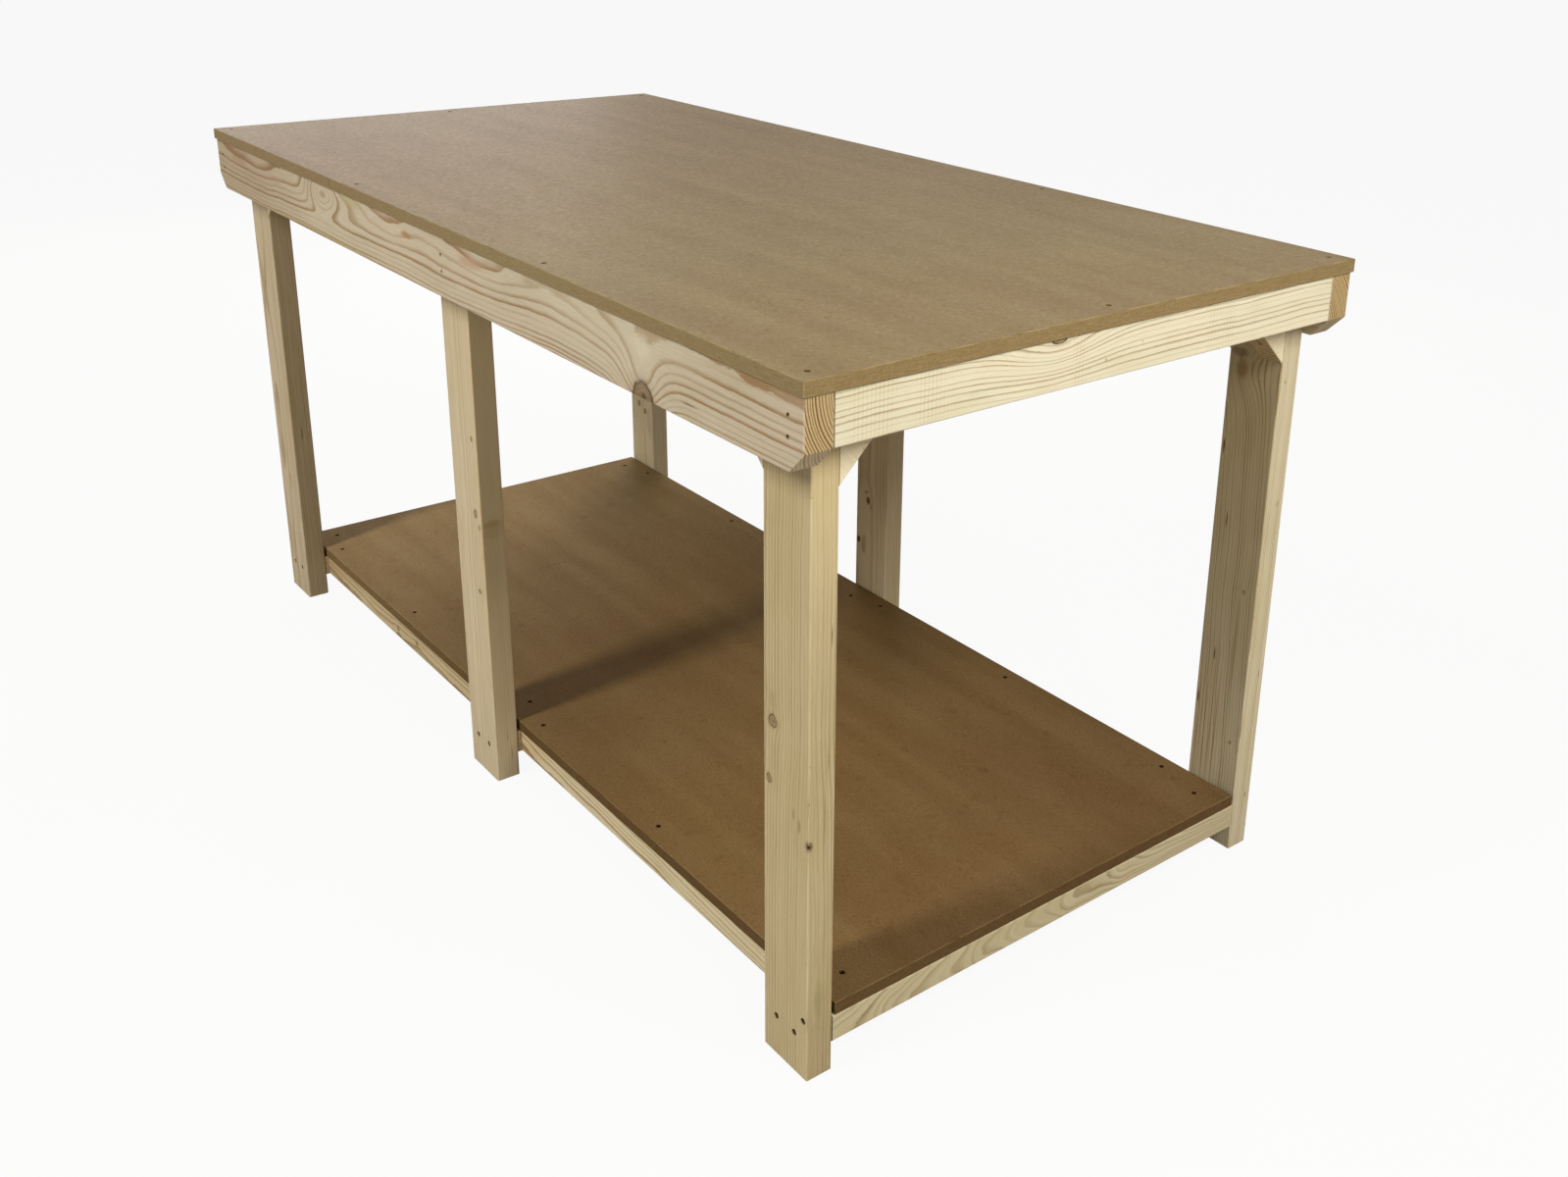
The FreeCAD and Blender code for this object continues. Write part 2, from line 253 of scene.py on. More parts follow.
def knot_shade(tree, takes, shade):
    """Knots: a reddish halo, a dark broken rim and rings of their own.

    Gives the colour, where the knot is and its rings."""
    place, depth = takes["Place"], takes["Depth"]
    shade = tree.blend(tree.ramp(depth, -0.9, 0.0, 0.0, 0.3), shade, takes["Late"])
    heart = tree.math("ADD", tree.math("MULTIPLY", depth, 3.4), tree.noise(place, 0.16, 2.0))
    heart_ring = tree.ramp(tree.math("FRACT", heart), 0.35, 0.95)
    wood = tree.darken(tree.math("MULTIPLY", heart_ring, 0.7), takes["Knot"], "b09a7c")
    mottle = tree.ramp(tree.noise(place, 0.3, 3.0, 0.6), 0.35, 0.7, 0.0, 0.5)
    wood = tree.darken(mottle, wood, "a8967a")
    wood = tree.blend(tree.ramp(depth, 0.7, 0.95, 0.0, 0.55), wood, colour("4c3823"))
    knot = tree.ramp(depth, -0.06, 0.08, 0.0, 0.85)
    shade = tree.blend(knot, shade, wood)
    rim = tree.math("MULTIPLY", tree.ramp(depth, -0.12, 0.04), tree.ramp(depth, 0.04, 0.3, 1.0, 0.0))
    broken = tree.ramp(tree.noise(place, 0.12, 2.0), 0.35, 0.65, 0.6, 1.0)
    return tree.darken(tree.math("MULTIPLY", rim, broken), shade, "94806a"), knot, heart_ring


def box_edges(tree, takes):
    """How far a point is from the faces of its piece's box, from the nearest side and from an edge."""
    to_faces = tree.parts(tree.vector("SUBTRACT", takes["Half"], tree.vector("ABSOLUTE", takes["Place"])))
    to_side = tree.math("MINIMUM", to_faces["X"], to_faces["Y"])
    to_far_side = tree.math("MAXIMUM", to_faces["X"], to_faces["Y"])
    to_edge = tree.math("MAXIMUM", to_side, tree.math("MINIMUM", to_far_side, to_faces["Z"]))
    return to_faces, to_side, to_edge


def worn_and_shaded(tree, takes, end, shade):
    """Rubbed and knocked arrises, and painted shade at butted ends and in the openings of screw holes.

    Gives the colour and where the knocks are."""
    place = takes["Place"]
    to_faces, to_side, to_edge = box_edges(tree, takes)
    rubbing = tree.noise(place, rub_scale, 3.0, 0.6)
    arris = tree.math("MULTIPLY", tree.ramp(to_edge, 0.4, 2.6, 1.0, 0.0), tree.ramp(rubbing, 0.3, 0.6))
    shade = tree.blend(tree.math("MULTIPLY", arris, 0.22), shade, colour("f0e4c8"))
    knocks = tree.ramp(tree.noise(place, 0.07, 2.0, 0.6), 0.66, 0.72)
    knock = tree.math("MULTIPLY", tree.ramp(to_edge, 0.8, 3.5, 1.0, 0.0), knocks)
    shade = tree.blend(tree.math("MULTIPLY", knock, 0.45), shade, colour("8a7350"))
    # Painted shade: a dark line along each butted end for the shade in the joint, with a little of the cut
    # end's own darkness.
    joint_shade = tree.math("MULTIPLY", tree.ramp(to_faces["X"], 0.6, 2.0, 1.0, 0.0), takes["Joint shade"])
    joint_shade = tree.math("MULTIPLY", joint_shade, tree.ramp(end, 0.3, 0.7, 1.0, 0.0))
    shade = tree.blend(joint_shade, shade, colour("45351f"))
    # Painted shade: the walls of screw holes, deep inside the piece's box, are darkened.
    inmost = tree.math("MINIMUM", to_side, to_faces["Z"])
    painted_hole_shade = tree.math("MULTIPLY", tree.ramp(inmost, 0.5, 2.5), takes["Hole shade"])
    return tree.blend(painted_hole_shade, shade, colour("2a1c0f")), knock


def planer_ripples(tree, takes):
    """Close waves across the grain that a planer leaves in places."""
    along = tree.parts(takes["Place"])["X"]
    pitch, stretch = 5.6, 80.0
    waves = tree.math("SINE", tree.math("MULTIPLY", along, tau / pitch))
    places = tree.noise(tree.joined(tree.math("DIVIDE", along, stretch), takes["Seed"], 0.0), 1.0, 1.0)
    strength = tree.math("MULTIPLY", tree.ramp(places, 0.48, 0.62), takes["Chatter"])
    return tree.math("MULTIPLY", waves, strength)


def pine_group():
    """Planed pine: year rings about a pith line, fibres, knots, end grain and rubbed arrises."""
    tree, takes, gives = node_group(
        "planed pine",
        [("Place", "Vector", no_place), ("Facing", "Vector", no_place), ("Half", "Vector", no_place),
         ("Shift", "Float", 0.0), ("Pull", "Float", 0.0), ("Depth", "Float", no_knot),
         ("Pith", "Vector", no_place), ("Lean", "Vector", no_place), ("Ring", "Float", 3.5),
         ("Wander", "Float", 3.0), ("Wave", "Float", 250.0), ("Chatter", "Float", 0.0),
         ("Seed", "Float", 0.0), ("Bold", "Float", 1.0), ("Early", "Float", 0.5),
         ("Joint shade", "Float", 0.0), ("Hole shade", "Float", 0.0), ("Pale", "Color", colour("d8c49c")),
         ("Late", "Color", colour("b8925e")), ("Knot", "Color", colour("94805a"))],
        [("Colour", "Color"), ("Roughness", "Float"), ("Height", "Float")])
    along, across, _ = tree.parts(takes["Place"])
    shifted = tree.math("ADD", across, takes["Shift"])
    radius = ring_radius(tree, takes, shifted)
    share, luck, late = year_rings(tree, takes, radius)

    # Fibres run with the grain; resin ducts are fine short dashes.
    strands = tree.joined(along, radius, shifted)
    fibres = tree.noise(strands, fibre_scale, 3.0, 0.65)
    duct = tree.ramp(tree.noise(strands, duct_scale, 1.0), 0.68, 0.8, 0.0, 0.35)
    end = tree.ramp(tree.math("ABSOLUTE", tree.parts(takes["Facing"])["X"]), 0.6, 0.9)
    pores = tree.noise(takes["Place"], 1.3, 2.0, 0.7)

    shade = planed_shade(tree, takes, late, fibres, duct)
    shade = cut_shade(tree, end, pores, share, luck, shade)
    shade, knot, heart_ring = knot_shade(tree, takes, shade)
    shade, knock = worn_and_shaded(tree, takes, end, shade)
    chatter = planer_ripples(tree, takes)
    tree.feed(gives["Colour"], tree.darken(tree.ramp(chatter, 0.0, 1.0, 0.0, 0.25), shade, "cdbf9c"))

    rough = tree.ramp(fibres, 0.2, 0.8, 0.58, 0.72)
    rough = tree.math("MULTIPLY_ADD", late, -0.09, rough)
    rough = tree.math("MULTIPLY_ADD", knot, -0.12, rough)
    tree.feed(gives["Roughness"], tree.math("MULTIPLY_ADD", end, 0.15, rough))

    # Heights are millimetres: late wood, fibres and heart rings stand proud, ducts and knocks lie low.
    height = tree.math("MULTIPLY", late, 0.05)
    height = tree.math("MULTIPLY_ADD", fibres, 0.12, height)
    height = tree.math("MULTIPLY_ADD", duct, -0.12, height)
    height = tree.math("MULTIPLY_ADD", tree.math("MULTIPLY", end, pores), 0.25, height)
    height = tree.math("MULTIPLY_ADD", tree.math("MULTIPLY", knot, heart_ring), 0.05, height)
    height = tree.math("MULTIPLY_ADD", knock, -0.45, height)
    tree.feed(gives["Height"], tree.math("MULTIPLY_ADD", chatter, 0.12, height))
    return tree.tree


def fibreboard_group():
    """Pressed fibreboard: flecked faces with faint sanding bands, darker sawn edges and painted shade on
    the walls of screw holes.
    """
    tree, takes, gives = node_group(
        "fibreboard",
        [("Place", "Vector", no_place), ("Facing", "Vector", no_place), ("Half", "Vector", no_place),
         ("Seed", "Float", 0.0), ("Face", "Color", colour("a08a68")), ("Edge", "Color", colour("8e7a52"))],
        [("Colour", "Color"), ("Roughness", "Float"), ("Height", "Float")])
    place = tree.vector("ADD", takes["Place"], tree.joined(takes["Seed"], takes["Seed"], 0.0))
    along, across, _ = tree.parts(place)
    fleck_start, bruise_start = (311.0, 97.0, 0.0), (777.0, 555.0, 0.0)
    band_long, band_wide = 900.0, 55.0
    cloud_scale, layer_scale, wear_scale = (0.004, 0.009, 0.009), (0.05, 0.05, 1.4), (0.03, 0.03, 0.1)
    fibres = tree.noise(place, 0.35, 4.0, 0.65)
    flecks = tree.noise(tree.vector("ADD", place, fleck_start), 0.16, 3.0, 0.6)
    clouds = tree.noise(place, cloud_scale, 3.0, 0.55)
    bands = tree.noise(tree.joined(tree.math("DIVIDE", along, band_long),
                                   tree.math("DIVIDE", across, band_wide), takes["Seed"]), 1.0, 1.0)
    bruises = tree.noise(tree.vector("ADD", place, bruise_start), 0.035, 4.0, 0.6)

    face = tree.darken(tree.ramp(fibres, 0.3, 0.75, 0.0, 0.8), takes["Face"], "d2c8b6")
    face = tree.darken(tree.ramp(flecks, 0.58, 0.74, 0.0, 0.45), face, "cfc0a4")
    face = tree.blend(tree.ramp(flecks, 0.42, 0.28, 0.0, 0.07), face, colour("cdbb98"))
    face = tree.darken(tree.ramp(clouds, 0.3, 0.7, 0.0, 0.5), face, "e9e0d2")
    face = tree.darken(tree.ramp(bands, 0.3, 0.7, 0.0, 0.5), face, "e6dfd2")
    face = tree.darken(tree.ramp(bruises, 0.6, 0.72, 0.0, 0.35), face, "d9c8ac")

    layers = tree.noise(place, layer_scale, 3.0, 0.6)
    edge = tree.darken(tree.ramp(layers, 0.3, 0.7, 0.0, 0.6), takes["Edge"], "c9bda0")
    edge = tree.darken(tree.ramp(fibres, 0.35, 0.7, 0.0, 0.5), edge, "d2c4a8")
    side = tree.ramp(tree.math("ABSOLUTE", tree.parts(takes["Facing"])["Z"]), 0.7, 0.3)
    shade = tree.blend(side, face, edge)

    _, to_side, to_edge = box_edges(tree, takes)
    rubbing = tree.ramp(tree.noise(place, wear_scale, 3.0), 0.3, 0.6)
    arris = tree.math("MULTIPLY", tree.ramp(to_edge, 0.3, 1.6, 1.0, 0.0), rubbing)
    shade = tree.blend(tree.math("MULTIPLY", arris, 0.28), shade, colour("c0aa80"))
    # Painted shade: the walls of screw holes, away from the board's outer sides, are darkened.
    painted_hole_shade = tree.math("MULTIPLY", side, tree.ramp(to_side, 2.0, 5.0, 0.0, 0.5))
    tree.feed(gives["Colour"], tree.blend(painted_hole_shade, shade, colour("1c140b")))

    rough = tree.ramp(flecks, 0.3, 0.7, 0.46, 0.56)
    tree.feed(gives["Roughness"], tree.math("MULTIPLY_ADD", side, 0.15, rough))
    height = tree.math("MULTIPLY", fibres, 0.05)
    height = tree.math("MULTIPLY_ADD", tree.math("MULTIPLY", side, layers), 0.25, height)
    tree.feed(gives["Height"], tree.math("MULTIPLY_ADD", arris, -0.1, height))
    return tree.tree


knot_nodes = knot_group()
mark_nodes = mark_group()
pine_nodes = pine_group()
fibreboard_nodes = fibreboard_group()


# ---------------------------------------------------------------------------------------------
# Materials
# ---------------------------------------------------------------------------------------------

def new_material(name):
    """A material with an empty node tree but for its shader and its output."""
    material = bpy.data.materials.new(name)
    material.use_nodes = True
    material.node_tree.nodes.clear()
    tree = Tree(material.node_tree)
    shader = tree.add("ShaderNodeBsdfPrincipled")
    tree.add("ShaderNodeOutputMaterial", {"Surface": shader.outputs[0]})
    return material, tree, shader


def dress(node, material):
    """Puts the material into every slot of a node of the frame."""
    for place in nodes[node].material_slots:
        place.material = material


class Lie:
    """How a piece lies: its middle, half its size, and the ways along, across and out of it."""

    def __init__(self, node, along, across):
        low, high = (Vector(corner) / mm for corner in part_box(node))
        self.middle = (low + high) / 2
        along, across = Vector(along).normalized(), Vector(across).normalized()
        self.turn = Matrix((along, across, along.cross(across)))
        self.half = Vector([abs(side) for side in self.turn @ ((high - low) / 2)])

    def place(self, point):
        """A point of the table, in millimetres, as a place inside the piece."""
        return tuple(self.turn @ (Vector(point) - self.middle))

    def way(self, direction):
        """A direction of the table as a direction inside the piece."""
        return tuple(self.turn @ Vector(direction))

    def narrowing(self, reaches):
        """One over how far something reaches along, across and out of the piece.

        The reaches are given along the axes of the table, with None for no end."""
        no_end = 1e6
        reach = [r or no_end for r in reaches]
        return tuple(1 / Vector([share * r for share, r in zip(way, reach)]).length for way in self.turn)

    def mapped(self, tree):
        """The places and the way the surface faces, as sockets."""
        source = tree.add("ShaderNodeTexCoord")
        angles = self.turn.to_euler()
        start = -(self.turn @ self.middle)
        place = tree.add("ShaderNodeMapping", {"Vector": source.outputs["Object"], "Location": start,
                                               "Rotation": angles, "Scale": (1 / mm,) * 3})
        facing = tree.add("ShaderNodeMapping", {"Vector": source.outputs["Normal"], "Rotation": angles},
                          vector_type="VECTOR")
        return place.outputs[0], facing.outputs[0]


# Which way the grain of a piece goes, and which way across it
along_x = ((1, 0, 0), (0, 0, 1))
along_x_flat = ((1, 0, 0), (0, 1, 0))
along_y = ((0, 1, 0), (0, 0, 1))
along_y_flat = ((0, 1, 0), (1, 0, 0))
along_z = ((0, 0, 1), (1, 0, 0))


def marked(tree, lie, place, shade, marks, how="MIX"):
    """The colour with marks laid over it, each (centre, reaches, colour, strength, ragged)."""
    for centre, reaches, tint, strength, ragged in marks:
        feeds = {"Place": place, "Centre": lie.place(centre), "Narrowing": lie.narrowing(reaches),
                 "Ragged": ragged, "Strength": strength}
        mark = tree.add("ShaderNodeGroup", feeds, node_tree=mark_nodes)
        shade = tree.blend(mark.outputs["Mask"], shade, colour(tint), how)
    return shade


def join_surface(tree, shader, surface, shade, sheen):
    """Joins the colour, and the roughness and heights of a surface, to its shader."""
    bump = tree.add("ShaderNodeBump",
                    {"Height": surface.outputs["Height"], "Strength": 0.8, "Distance": mm})
    tree.feed(shader.inputs["Base Color"], shade)
    tree.feed(shader.inputs["Roughness"], surface.outputs["Roughness"])
    tree.feed(shader.inputs["Normal"], bump.outputs[0])
    shader.inputs["Specular IOR Level"].default_value = sheen


def timber(node, way, pith, lean=no_place, ring=3.2, wander=1.6, wave=300.0, seed=0.0, bold=1.0,
           early=0.5, joint_shade=0.0, hole_shade=0.0, chatter=0.0, pale="d2bf98", late="b0895a", knot="94805a",
           knots=(), marks=(), stains_and_shade=()):
    """Dresses a timber. Pith is a point of the table that the ring centres pass at the timber's middle.

    Lean is how they slant along the grain, and wander how far they stray over the length wave. Ring is
    the width of a year, early the share of it that stays pale, and bold how dark its late wood is. The
    joint shade darkens butted ends as painted shade of the joint, the hole shade paints shade on the
    insides of holes, and chatter adds the ripples of a planer. Knots are (centre, stretch, size,
    parting, lift, reach); marks are (centre, reaches, colour, strength, ragged), and the darkenings are
    the same but darken what they lie on: some are discolouring of the wood, some painted shade. A reach
    of None runs right through."""
    material, tree, shader = new_material(node + "_pine")
    lie = Lie(node, *way)
    place, facing = lie.mapped(tree)
    grain = {"Shift": 0.0, "Pull": 0.0, "Depth": no_knot}
    for centre, reaches, size, parting, lift, reach in knots:
        feeds = {"Place": place, **grain, "Centre": lie.place(centre),
                 "Narrowing": lie.narrowing(reaches), "Size": size, "Parting": parting, "Lift": lift,
                 "Reach": reach}
        bent = tree.add("ShaderNodeGroup", feeds, node_tree=knot_nodes)
        grain = {name: bent.outputs[name] for name in grain}
    feeds = {"Place": place, "Facing": facing, "Half": tuple(lie.half), **grain,
             "Pith": lie.place(pith), "Lean": lie.way(lean), "Ring": ring, "Wander": wander,
             "Wave": wave, "Chatter": chatter, "Seed": seed, "Bold": bold, "Early": early, "Joint shade": joint_shade,
             "Hole shade": hole_shade, "Pale": colour(pale), "Late": colour(late), "Knot": colour(knot)}
    pine = tree.add("ShaderNodeGroup", feeds, node_tree=pine_nodes)
    shade = marked(tree, lie, place, pine.outputs["Colour"], marks)
    shade = marked(tree, lie, place, shade, stains_and_shade, "MULTIPLY")
    join_surface(tree, shader, pine, shade, sheen=0.08)
    dress(node, material)


def fibreboard(node, seed, face, edge, sheen, marks=(), stains_and_shade=()):
    """Dresses a fibreboard sheet. Marks, and the discolourings and painted shade that darken, are as on
    timber.
    """
    material, tree, shader = new_material(node + "_fibreboard")
    lie = Lie(node, *along_x_flat)
    place, facing = lie.mapped(tree)
    feeds = {"Place": place, "Facing": facing, "Half": tuple(lie.half), "Seed": seed,
             "Face": colour(face), "Edge": colour(edge)}
    board = tree.add("ShaderNodeGroup", feeds, node_tree=fibreboard_nodes)
    shade = marked(tree, lie, place, board.outputs["Colour"], marks)
    shade = marked(tree, lie, place, shade, stains_and_shade, "MULTIPLY")
    join_surface(tree, shader, board, shade, sheen)
    dress(node, material)


def screw_steel():
    """Dark steel with patches of brown dust and rubbed paler spots; part of its darkness is painted shade
    of the sunk holes.
    """
    material, tree, shader = new_material("screw_steel_dark_and_shaded")
    place = tree.add("ShaderNodeMapping", {"Vector": tree.add("ShaderNodeTexCoord").outputs["Object"],
                                           "Scale": (1 / mm,) * 3}).outputs[0]
    rub_start = (40.0, 9.0, 3.0)
    dust = tree.noise(place, 0.4, 3.0, 0.6)
    rubbed = tree.noise(tree.vector("ADD", place, rub_start), 1.1, 2.0)
    # Partly painted shade: the steel is made darker than it is, for the shade in the sunk holes.
    shade = tree.blend(tree.ramp(rubbed, 0.55, 0.75), colour("2a2620"), colour("4c463a"))
    shade = tree.blend(tree.ramp(dust, 0.45, 0.65, 0.0, 0.8), shade, colour("33271a"))
    tree.feed(shader.inputs["Base Color"], shade)
    tree.feed(shader.inputs["Roughness"], tree.ramp(dust, 0.4, 0.7, 0.35, 0.7))
    tree.feed(shader.inputs["Metallic"], tree.ramp(dust, 0.45, 0.65, 0.9, 0.2))
    bump = tree.add("ShaderNodeBump", {"Height": rubbed, "Strength": 0.3, "Distance": 0.1 * mm})
    tree.feed(shader.inputs["Normal"], bump.outputs[0])
    return material


# ---------------------------------------------------------------------------------------------
# The timbers
# ---------------------------------------------------------------------------------------------

# A reach that has no end, and the size of a knot that only bends the rings beside it
through = None
bare = 0.01

# Where the faces that carry knots and marks lie, in Y or in X
apron_front, apron_back = -454, 454
leg_front, rear_leg_front, leg_right = -416, 378, 874
shelf_rail_front = -372

timber("front_apron", along_x, pith=(0, -341.6, 897), ring=3.7, wander=1.6, wave=230.0, seed=3.0,
       bold=1.18, early=0.56, pale="bdb4a1", late="947a5a", knot="7d6543",
       knots=[((597, apron_front, 809), (1.1, through, 1), 21, 0.0, -21, 46),
              ((-395, apron_front, 884), (1.9, through, 1), bare, 0.0, 21, 30),
              ((-300, apron_front, 882), (3.6, through, 1), bare, 0.0, 9, 28),
              ((20, apron_front, 880), (3.6, through, 1), bare, 0.0, 5, 34),
              ((400, apron_front, 850), (1, through, through), bare, 0.0, 7, 150)],
       marks=[((-795, apron_front, 874), (58, through, 9), "a68a6c", 0.45, 0.9),
              ((-612, apron_front, 869), (42, through, 8), "a88b6e", 0.45, 0.9),
              ((-62, apron_front, 877), (26, through, 7), "957346", 0.8, 0.8),
              ((145, apron_front, 878), (55, through, 10), "ab8a70", 0.65, 0.9),
              ((318, apron_front, 890), (22, through, 7), "9d8263", 0.45, 0.9),
              ((405, apron_front, 889), (40, through, 6), "a98c70", 0.45, 0.9),
              ((-270, apron_front, 888), (60, through, 11), "a39867", 0.55, 0.9),
              ((597, apron_front, 872), (26, through, 24), "c8bfa6", 0.6, 0.7),
              ((520, apron_front, 865), (240, through, 60), "cbc2a8", 0.3, 0.6),
              ((600, apron_front, 812), (7, through, 5), "3f2c18", 0.75, 0.8),
              ((697, apron_front, 829), (24, through, 1.6), "5f452c", 0.8, 0.7),
              ((820, apron_front, 885), (110, through, 3), "94785a", 0.4, 0.7)],
       stains_and_shade=[((-912, apron_front, 850), (560, through, through), "e4dcd4", 1.0, 0.0),
               ((-400, apron_front, 812), (300, through, 7), "ded8a8", 0.7, 0.8)])
timber("rear_apron", along_x, pith=(0, 330, 800), ring=3.4, wander=2.2, wave=260.0, seed=11.0,
       bold=0.95, pale="baaf97", late="8f724e",
       knots=[((-420, apron_back, 850), (1.2, through, 1), 9, 0.6, -5, 35),
              ((330, apron_back, 872), (1.2, through, 1), 6, 0.6, -3, 28),
              ((705, apron_back, 830), (1.1, through, 1), 11, 0.6, -6, 40)])

timber("right_top_rail", along_y, pith=(950, 0, 690), ring=7.6, wander=3.0, wave=210.0, seed=5.0,
       bold=0.8, early=0.72, joint_shade=0.7, pale="dedac4", late="9a8760", chatter=1.0,
       knots=[((912, -95, 900), (through, 1.7, 1), 9, 0.3, 30, 42)],
       marks=[((912, -16, 858), (through, 2.5, 2.5), "8f6c42", 0.6, 0.4),
              ((912, 46, 870), (through, 2.0, 2.0), "8f6c42", 0.5, 0.4)])
timber("middle_top_rail", along_y, pith=(120, 0, 800), ring=3.4, seed=7.0, joint_shade=0.6,
       pale="c6b895", late="9c8058")
timber("left_top_rail", along_y, pith=(-800, 0, 960), ring=4.0, seed=14.0, bold=0.85, joint_shade=0.6,
       pale="c8bca1", late="a38765", knots=[((-912, 160, 860), (through, 1.2, 1), 7, 0.6, -4, 30)])

timber("front_right_leg", along_z, pith=(600, -150, 0), lean=(0.01, 0, 0), ring=3.9, wander=2.0,
       wave=220.0, seed=21.0, bold=0.68, early=0.66, hole_shade=0.85, pale="bdaf8d", late="83714b",
       knot="a08b64",
       knots=[((804, leg_front, 467), (1.05, 1.0, 1.1), 7.5, 0.7, -1, 20),
              ((796, leg_front, 388), (1.05, 1.0, 1.15), 5.0, 0.7, -1, 14),
              ((leg_right, leg_front, 334), (1.0, 1.0, 1.2), 5.0, 0.7, -1, 20)],
       marks=[((804, leg_front, 467), (2.2, 3, 2.5), "5a452c", 0.6, 0.3),
              ((796, leg_front, 388), (1.6, 3, 1.8), "5a452c", 0.6, 0.3),
              ((leg_right, leg_front, 334), (4.5, 4.5, 5), "2b1b10", 0.95, 0.4),
              ((856, leg_front, 353), (3.5, through, 13), "786643", 0.6, 0.9),
              ((845, leg_front, 364), (3.5, through, 12), "806d49", 0.5, 0.9),
              ((804, leg_front, 494), (12, through, 20), "9c8a66", 0.5, 0.9),
              # Painted light: the top of the right-hand face is made paler, as light from above falls on
              # it.
              ((880, -397, 800), (9, through, 380), "dcc896", 0.6, 0.3),
              ((leg_right, -393, 368), (through, 1.5, 55), "8b6a42", 0.6, 0.8),
              ((leg_right, -389, 440), (through, 1.2, 20), "7a6240", 0.5, 0.8),
              ((leg_right, -386, 596), (through, 0.9, 19), "4c3820", 0.85, 0.6),
              ((866, -402, 74), (12, 14, 16), "85804f", 0.5, 0.9),
              ((leg_right, -400, 110), (through, 9, 40), "8d8456", 0.4, 0.9)],
       # The right-hand face made darker towards the foot.
       stains_and_shade=[((882, -397, 40), (10, through, 420), "c3baa6", 1.0, 0.3)])
timber("front_middle_leg", along_z, pith=(-30, -310, 0), ring=3.4, wander=1.3, wave=260.0, seed=23.0,
       bold=0.55, early=0.6, hole_shade=0.85, pale="c8bca2", late="a38c66", knot="9c8662",
       knots=[((27, leg_front, 459), (1.2, 1.0, 1.5), 4.5, 0.7, -1, 16),
              ((38, leg_front, 439), (1.2, 1.0, 1.5), 3, 0.7, -1, 14),
              ((24, leg_front, 328), (1.6, 1.0, 1.2), 3, 0.7, -1, 14),
              ((30, leg_front, 580), (1.2, 1.0, 1.4), 3, 0.7, -1, 12)],
       marks=[((44, leg_front, 395), (4, 4, 16), "a5753e", 0.5, 0.6),
              ((46, -398, 443), (8, 24, 7), "6b4726", 0.7, 0.9),
              ((44, -398, 434), (5, 22, 24), "8a6238", 0.5, 0.9),
              ((44, -390, 43), (through, 0.9, 20), "52391f", 0.8, 0.5),
              ((44, -396, 75), (through, 0.9, 12), "52391f", 0.7, 0.5),
              ((45, -397, 520), (8, through, 640), "d2b98a", 0.5, 0.3)])
timber("front_left_leg", along_z, pith=(-850, -300, 0), ring=3.4, wander=1.8, wave=200.0, seed=25.0,
       bold=0.8, early=0.6, hole_shade=0.85, pale="bcaf97", late="967f5f", knot="93795a",
       marks=[((-848, leg_front, 405), (10, through, 24), "8f7c58", 0.45, 0.9),
              ((-845, leg_front, 290), (16, through, 36), "8f7c58", 0.5, 0.9),
              ((-825, leg_front, 240), (14, through, 30), "97815c", 0.4, 0.9),
              ((-785, -398, 342), (through, 2, 18), "4f3820", 0.6, 0.6)],
       # Painted shade: the right-hand face, under the top, is darkened a little and made less blue.
       stains_and_shade=[((-782, -397, 440), (8, through, 900), "f8f5e7", 1.0, 0.2)])
